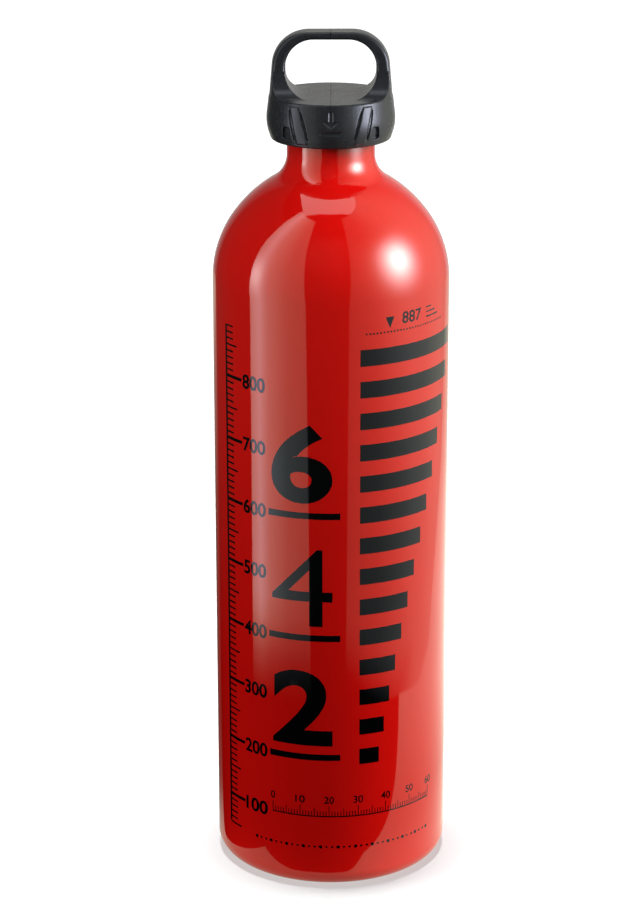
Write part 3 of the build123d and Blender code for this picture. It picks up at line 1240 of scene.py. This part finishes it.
@dataclass
class Cover:
    """The moulded cover with its carrying loop, its corners softened as a mould softens them.

    It is rebuilt from even cells, with a size in mm, and smoothed in so many passes of some strength.
    """

    cell: float = 0.17
    passes: int = 8
    strength: float = 0.5
    plastic: MouldedPlastic = MouldedPlastic("black_plastic", parting=0.3)

    def softened(self) -> bpy.types.Mesh:
        """Eases every corner of the CAD cover.

        Returns:
            The mesh.
        """
        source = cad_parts[Node.COVER.value].data.copy()
        draft = put_in_scene("cover_draft", source)
        remesh = draft.modifiers.new("even", "REMESH")
        remesh.mode = "VOXEL"
        remesh.voxel_size = self.cell * MM
        ease = draft.modifiers.new("ease", "SMOOTH")
        ease.factor = self.strength
        ease.iterations = self.passes
        mesh = read_mesh(draft)
        bpy.data.meshes.remove(source)
        mesh.shade_smooth()
        return mesh

    def build(self) -> list[bpy.types.Object]:
        """Makes the cover in place of its CAD node.

        Returns:
            The cover.
        """
        mesh = self.softened()
        mesh.materials.clear()
        mesh.materials.append(self.plastic.make())
        piece = put_in_scene("cover_moulding", mesh)
        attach(piece, Body.COVER.value)
        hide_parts(Node.COVER.value)
        return [piece]


# Studio


def bell(value: float, centre: float, width: float) -> float:
    """A bell curve of height 1."""
    return exp(-(((value - centre) / width) ** 2))


def blend_along(value: float, stops: Stops) -> float:
    """A value read from straight lines between stops.

    Args:
        value: Where to read.
        stops: The stops (place, value), in rising order of place.

    Returns:
        The value there, or the nearest end's.
    """
    if value <= stops[0][0]:
        return stops[0][1]
    for (start, low), (end, high) in zip(stops, stops[1:]):
        if value <= end:
            return low + (high - low) * (value - start) / (end - start)
    return stops[-1][1]


@dataclass(frozen=True)
class HotSpot:
    """A bright spot on a card: its peak, where it lies and how far it spreads, in degrees and mm."""

    peak: float
    azimuth: float
    height: float
    width: float
    rise: float

    def shine(self, azimuth: float, height: float) -> float:
        """How bright the spot is at an azimuth and a height."""
        return self.peak * bell(azimuth, self.azimuth, self.width) * bell(height, self.height, self.rise)


@dataclass
class Card:
    """A sheet of the studio that only reflections see, and some of them bounced light too.

    Lengths are in mm, azimuths in degrees from the front. A point of the sheet is given by its shares
    across and up, from 0 to 1.
    """

    name: str
    columns: int
    rows: int
    seen_by: tuple[Ray, ...] = (Ray.GLOSSY,)
    glow: Glow = Glow()

    def spot(self, across: float, up: float) -> Place:
        """Where a point of the sheet is, from its shares across and up."""
        raise NotImplementedError

    def radiance(self, across: float, up: float) -> float:
        """How bright the sheet is at its shares across and up."""
        raise NotImplementedError

    def build(self, glows: dict[str, bpy.types.Material]) -> bpy.types.Object:
        """Makes the sheet.

        Args:
            glows: The materials that send out light, by name.

        Returns:
            The sheet.
        """
        corners: list[Place] = []
        light: list[float] = []
        for j in range(self.rows + 1):
            for i in range(self.columns + 1):
                across, up = i / self.columns, j / self.rows
                corners.append(tuple(part * MM for part in self.spot(across, up)))
                light.append(self.radiance(across, up))
        wide = self.columns + 1
        faces = [
            (j * wide + i, j * wide + i + 1, (j + 1) * wide + i + 1, (j + 1) * wide + i)
            for j in range(self.rows)
            for i in range(self.columns)
        ]
        mesh = bpy.data.meshes.new(self.name)
        mesh.from_pydata(corners, [], faces)
        layer = mesh.attributes.new(self.glow.layer, "FLOAT", "POINT")
        layer.data.foreach_set("value", light)
        mesh.materials.append(glows[self.glow.name])
        piece = put_in_scene(self.name, mesh)
        for ray in Ray:
            setattr(piece, ray.value, ray in self.seen_by)
        return piece


@dataclass
class Curtain(Card):
    """A sheet that stands on edge and curves round the bottle's axis.

    Its side edges lean by so many degrees in each 100 mm of height. Its foot is level, or follows stops
    (azimuth, height).
    """

    distance: float = 200.0
    start: float = -90.0
    end: float = 90.0
    low: float = 0.0
    high: float = 700.0
    start_lean: float = 0.0
    end_lean: float = 0.0
    foot: Stops = ()
    light: float = 0.0

    def azimuth(self, across: float, height: float) -> float:
        """The azimuth of a point.

        Args:
            across: Its share across the sheet.
            height: Its height.

        Returns:
            The azimuth, between the leaning edges.
        """
        start = self.start + self.start_lean * height / 100
        end = self.end + self.end_lean * height / 100
        return start + (end - start) * across

    def aim(self, across: float, up: float) -> Point:
        """The direction of a point.

        Args:
            across: Its share across the sheet.
            up: Its share up the sheet.

        Returns:
            Its azimuth and height.
        """
        low = blend_along(self.azimuth(across, 0), self.foot) if self.foot else self.low
        height = low + (self.high - low) * up
        return (self.azimuth(across, height), height)

    def spot(self, across: float, up: float) -> Place:
        """Where a point of the sheet is.

        Args:
            across: Its share across the sheet.
            up: Its share up the sheet.

        Returns:
            The place (x, y, z).
        """
        azimuth, height = self.aim(across, up)
        turn = radians(azimuth)
        return (self.distance * sin(turn), -self.distance * cos(turn), height)

    def radiance(self, across: float, up: float) -> float:
        """How bright the sheet is at its shares across and up."""
        return self.level(*self.aim(across, up))

    def level(self, azimuth: float, height: float) -> float:
        """How bright the sheet is at an azimuth and a height."""
        return self.light


@dataclass
class LeftSoftbox(Curtain):
    """The tall softbox on the left, brightest at its outer edge and fading out at its foot."""

    panel: Stops = ((-77, 2.5), (-67, 4.2), (-57, 2.5), (-39, 1.3), (-23, 0.95))
    fade: Stops = ((4, 0.0), (20, 0.25), (40, 1.0))
    lamp: HotSpot = HotSpot(peak=5.0, azimuth=-72, height=232, width=7, rise=40)

    def level(self, azimuth: float, height: float) -> float:
        """How bright the softbox is at an azimuth and a height."""
        panel = blend_along(azimuth, self.panel)
        return (panel + self.lamp.shine(azimuth, height)) * blend_along(height, self.fade)


@dataclass
class RightWall(Curtain):
    """The lit wall on the right with the lamp in front of it, soft along its foot towards the front."""

    foot: Stops = (
        (13, 14), (20, 12), (35, 3), (60, -6), (91, 1), (107, 15), (110, 31), (121, 63), (129, 86),
        (133, 111), (136, 151), (142, 300), (150, 500),
    )
    panel: Stops = ((15, 0.45), (42, 0.6), (60, 0.93), (80, 1.3), (105, 1.27), (120, 1.0), (138, 0.5))
    sharp_foot: Stops = ((50, 0.0), (85, 1.0))
    soft_foot: Stops = ((0, 0.05), (22, 1.0))
    lamp: HotSpot = HotSpot(peak=28.0, azimuth=67.5, height=280, width=15, rise=54)
    halo: HotSpot = HotSpot(peak=1.9, azimuth=67.5, height=280, width=30, rise=108)

    def level(self, azimuth: float, height: float) -> float:
        """How bright the wall is.

        Args:
            azimuth: The azimuth on the wall.
            height: The height on the wall.

        Returns:
            The light of wall, lamp and halo, less near a soft foot.
        """
        light = self.lamp.shine(azimuth, height) + self.halo.shine(azimuth, height)
        rise = height - blend_along(azimuth, self.foot)
        edge = max(blend_along(azimuth, self.sharp_foot), blend_along(rise, self.soft_foot))
        return (blend_along(azimuth, self.panel) + light) * edge


@dataclass
class BackWall(Curtain):
    """The far wall behind the bottle, brighter on the right and low down."""

    panel: Stops = (
        (145, 0.6), (155, 0.75), (176, 0.75), (184, 0.68), (195, 0.5), (205, 0.34), (215, 0.15),
    )
    fade: Stops = ((300, 1.0), (550, 0.74))

    def level(self, azimuth: float, height: float) -> float:
        """How bright the wall is at an azimuth and a height."""
        return blend_along(azimuth, self.panel) * blend_along(height, self.fade)


@dataclass
class Ceiling(Card):
    """A level sheet over or under the bottle, between two front-to-back edges that can splay.

    The veil is a faint light that sets in far from the bottle.
    """

    height: float = 2200.0
    half_width: float = 800.0
    front: float = -420.0
    back: float = 330.0
    front_splay: float = 0.12
    back_splay: float = 0.55
    light: float = 2.8
    veil: float = 0.0
    veil_start: float = 200.0
    veil_end: float = 700.0

    def spot(self, across: float, up: float) -> Place:
        """Where a point of the sheet is.

        Args:
            across: Its share across the sheet.
            up: Its share from front to back.

        Returns:
            The place (x, y, z).
        """
        x = (2 * across - 1) * self.half_width
        front = self.front + self.front_splay * abs(x)
        back = self.back + self.back_splay * abs(x)
        return (x, front + (back - front) * up, self.height)

    def radiance(self, across: float, up: float) -> float:
        """How bright the sheet is at its shares across and up."""
        x, y, _ = self.spot(across, up)
        return self.light + blend_along(hypot(x, y), ((self.veil_start, 0.0), (self.veil_end, self.veil)))


@dataclass
class PaperSheet(Card):
    """The lit part of the paper, as reflections and bounced light see it.

    It ends just ahead of the bottle, along stops (x, y), and flares to the left behind it. Its light on
    the left depends on y and on the right on the distance from the axis; right_share blends the two
    along x, and base_shade darkens the paper close to the bottle, a painted contact shadow.
    """

    front: Stops = (
        (-48, -40.7), (-9, -48.8), (10, -50.5), (27, -61), (70, -61.5), (109, -65.5), (147, -73),
        (183, -83), (300, -110),
    )
    back: float = 900.0
    left: float = -48.0
    right: float = 700.0
    flare: float = 0.55
    height: float = -0.3
    left_light: Stops = (
        (0, 0.86), (10, 0.6), (25, 0.4), (45, 0.12), (100, 0.06), (350, 0.1), (600, 0.36), (700, 0.7),
    )
    right_light: Stops = (
        (50, 1.4), (100, 1.1), (190, 1.7), (280, 1.75), (380, 1.5), (465, 1.15), (565, 0.95), (760, 0.8),
    )
    right_share: Stops = ((-30, 0.0), (5, 0.2), (25, 0.85), (60, 1.0))
    base_shade: Stops = ((36, 0.5), (42, 0.8), (50, 1.0))

    def spot(self, across: float, up: float) -> Place:
        """Where a point of the sheet is; the rows and columns are closest near the bottle.

        Args:
            across: Its share across the sheet.
            up: Its share from front to back.

        Returns:
            The place (x, y, z).
        """
        column = self.left + (self.right - self.left) * across**2
        front = blend_along(column, self.front)
        y = front + (self.back - front) * up**2
        left = self.left - self.flare * max(0.0, y)
        return (left + (self.right - left) * across**2, y, self.height)

    def radiance(self, across: float, up: float) -> float:
        """How bright the paper is.

        Args:
            across: The share across the sheet.
            up: The share from front to back.

        Returns:
            The light there.
        """
        x, y, _ = self.spot(across, up)
        away = hypot(x, y)
        share = blend_along(x, self.right_share)
        level = blend_along(y, self.left_light) * (1 - share) + blend_along(away, self.right_light) * share
        # base_shade is a painted contact shadow of the bottle on the lit paper.
        return level * blend_along(away, self.base_shade)


@dataclass
class SoftLamp:
    """A soft lamp that lights the surfaces but isn't mirrored in them.

    Lengths are in metres and angles in degrees. Without a depth it is square.
    """

    name: str
    azimuth: float
    elevation: float
    distance: float
    size: float
    level: float
    target: Target = Target.BOTTLE
    depth: float = 0.0
    aim_height: float = 0.13

    def build(self, groups: dict[Target, bpy.types.Collection]) -> bpy.types.Object:
        """Hangs the lamp, aimed at the middle of the bottle, with its power in step with its distance.

        Args:
            groups: What each kind of lamp lights.

        Returns:
            The lamp.
        """
        lamp = bpy.data.lights.new(self.name, "AREA")
        lamp.shape = "RECTANGLE"
        lamp.size = self.size
        lamp.size_y = self.depth or self.size
        lamp.energy = pi * pi * self.distance**2 * self.level
        piece = put_in_scene(self.name, lamp)
        turn, rise = radians(self.azimuth), radians(self.elevation)
        away = Vector((sin(turn) * cos(rise), -cos(turn) * cos(rise), sin(rise)))
        piece.location = Vector((0, 0, self.aim_height)) + away * self.distance
        piece.rotation_euler = away.to_track_quat("Z", "Y").to_euler()
        piece.visible_glossy = False
        piece.visible_camera = False
        piece.light_linking.receiver_collection = groups[self.target]
        return piece


@dataclass
class Studio:
    """The pale floor, the room's light, and the cards and dark cloths that the gloss reflects."""

    floor_reach: float = 6.0
    room_level: float = 0.12
    paper: Paper = Paper()
    warm: Glow = Glow()
    even: Glow = Glow("even_glow", warmth=(1.0, 0.985, 0.94))

    def floor(self) -> bpy.types.Object:
        """Lays the paper floor under the bottle.

        Returns:
            The floor.
        """
        reach = self.floor_reach
        corners = [(-reach, -reach, 0), (reach, -reach, 0), (reach, reach, 0), (-reach, reach, 0)]
        mesh = bpy.data.meshes.new("paper_floor")
        mesh.from_pydata(corners, [], [(0, 1, 2, 3)])
        mesh.materials.append(self.paper.make())
        piece = put_in_scene("paper_floor", mesh)
        piece.visible_diffuse = False
        piece.visible_glossy = False
        return piece

    def groups(self, floor: bpy.types.Object) -> dict[Target, bpy.types.Collection]:
        """What each kind of lamp lights: the floor alone, or everything but the floor.

        Args:
            floor: The floor.

        Returns:
            The groups by kind of lamp.
        """
        made = {}
        for target in Target:
            group = bpy.data.collections.new(f"lit_{target.value}")
            group.objects.link(floor)
            state = "INCLUDE" if target is Target.FLOOR else "EXCLUDE"
            group.collection_objects[0].light_linking.link_state = state
            made[target] = group
        return made

    def room(self) -> None:
        """Sets the room: a low even light on the surfaces, and white where it is seen or mirrored."""
        world = bpy.data.worlds.new("white_room")
        bpy.context.scene.world = world
        world.use_nodes = True
        tree = world.node_tree
        tree.nodes.clear()
        low, white = (tree.nodes.new("ShaderNodeBackground") for _ in range(2))
        for background, strength in ((low, self.room_level), (white, 1.0)):
            background.inputs["Color"].default_value = (1, 1, 1, 1)
            background.inputs["Strength"].default_value = strength
        path = tree.nodes.new("ShaderNodeLightPath")
        seen = path.outputs["Is Camera Ray"]
        for other in ("Is Glossy Ray", "Is Transmission Ray"):
            either = tree.nodes.new("ShaderNodeMath")
            either.operation = "MAXIMUM"
            tree.links.new(seen, either.inputs[0])
            tree.links.new(path.outputs[other], either.inputs[1])
            seen = either.outputs["Value"]
        mix = tree.nodes.new("ShaderNodeMixShader")
        output = tree.nodes.new("ShaderNodeOutputWorld")
        tree.links.new(seen, mix.inputs["Fac"])
        tree.links.new(low.outputs["Background"], mix.inputs[1])
        tree.links.new(white.outputs["Background"], mix.inputs[2])
        tree.links.new(mix.outputs["Shader"], output.inputs["Surface"])

    def cards(self) -> list[Card]:
        """The lit cards and dark cloths.

        Returns:
            The cards, not yet made.
        """
        bounced = (Ray.GLOSSY, Ray.DIFFUSE)
        return [
            LeftSoftbox("left_softbox", columns=40, rows=80, start=-77, end=-18, end_lean=-2.3, high=680),
            RightWall("right_wall", columns=72, rows=100, start=13, end=150, start_lean=1.8, high=800),
            BackWall(
                "back_wall", columns=60, rows=40, glow=self.even, distance=950, start=145, end=215,
                low=-60, high=2250,
            ),
            Ceiling("overhead_strip", columns=24, rows=4, glow=self.even),
            Ceiling(
                "dark_ceiling", columns=4, rows=4, height=2300, half_width=3200, front=-3200, back=2900,
                back_splay=0, light=0,
            ),
            Curtain(
                "dark_room", columns=60, rows=2, distance=1600, start=-150, end=150, low=-20, high=2300,
                light=0.06,
            ),
            Ceiling(
                "dark_floorcloth", columns=60, rows=60, seen_by=bounced, height=-0.5, half_width=3200,
                front=-3200, back=2900, back_splay=0, light=0, veil=0.06,
            ),
            PaperSheet("lit_paper", columns=70, rows=70, seen_by=bounced),
        ]

    def lamps(self) -> list[SoftLamp]:
        """The soft lamps.

        Returns:
            The lamps, not yet hung.
        """
        return [
            SoftLamp("key_lamp", azimuth=80, elevation=30, distance=1.2, size=0.6, level=1.02),
            SoftLamp("left_lamp", azimuth=-78, elevation=2, distance=1.0, size=0.5, level=0.42),
            SoftLamp("top_lamp", azimuth=-5, elevation=45, distance=0.5, size=0.30, level=0.36),
            SoftLamp("back_lamp", azimuth=180, elevation=4, distance=1.2, size=0.6, level=0.55),
            SoftLamp(
                "floor_lamp", azimuth=-165, elevation=89.05, distance=1.2, size=0.30, level=3.7,
                target=Target.FLOOR, depth=0.12,
            ),
        ]

    def build(self) -> list[bpy.types.Object]:
        """Sets up the studio.

        Returns:
            Its cards, lamps and floor.
        """
        self.room()
        glows = {glow.name: glow.make() for glow in (self.warm, self.even)}
        paper = self.floor()
        groups = self.groups(paper)
        cards = [card.build(glows) for card in self.cards()]
        return cards + [lamp.build(groups) for lamp in self.lamps()] + [paper]


@dataclass
class ProductCamera:
    """The camera, a metre in front of the bottle and above it, looking down at the picture's angle.

    The focal length is in pixels of the picture, the sensor in mm, distances in metres, down and left in
    degrees and roll in radians.
    """

    focal_pixels: float = 2992.82
    picture_height: int = 899
    sensor: float = 36.0
    near: float = 0.05
    far: float = 50.0
    back: float = 0.96820
    height: float = 0.45485
    down: float = 17.750
    left: float = 0.2028
    roll: float = 0.0015

    def build(self) -> bpy.types.Object:
        """Places the camera.

        Returns:
            The camera.
        """
        data = bpy.data.cameras.new("product_camera")
        data.sensor_width = self.sensor
        data.lens = self.focal_pixels * self.sensor / self.picture_height
        data.clip_start = self.near
        data.clip_end = self.far
        piece = put_in_scene("product_camera", data)
        piece.location = (0, -self.back, self.height)
        piece.rotation_euler = (radians(90 - self.down), self.roll, radians(self.left))
        bpy.context.scene.camera = piece
        return piece


def main() -> None:
    """Builds the bottle, its parts and the studio, and reports each piece."""
    logging.basicConfig(level=logging.INFO, format="%(name)s: %(message)s")
    ProductCamera().build()
    for maker in (Flask(), LevelPrint(), Closure(), Spring(), Cover(), Studio()):
        for piece in maker.build():
            faces = len(piece.data.polygons) if piece.type == "MESH" else 0
            log.info("%s made %s with %d faces", type(maker).__name__, piece.name, faces)
    bpy.context.scene.view_settings.view_transform = "Standard"


if __name__ == "__main__":
    main()
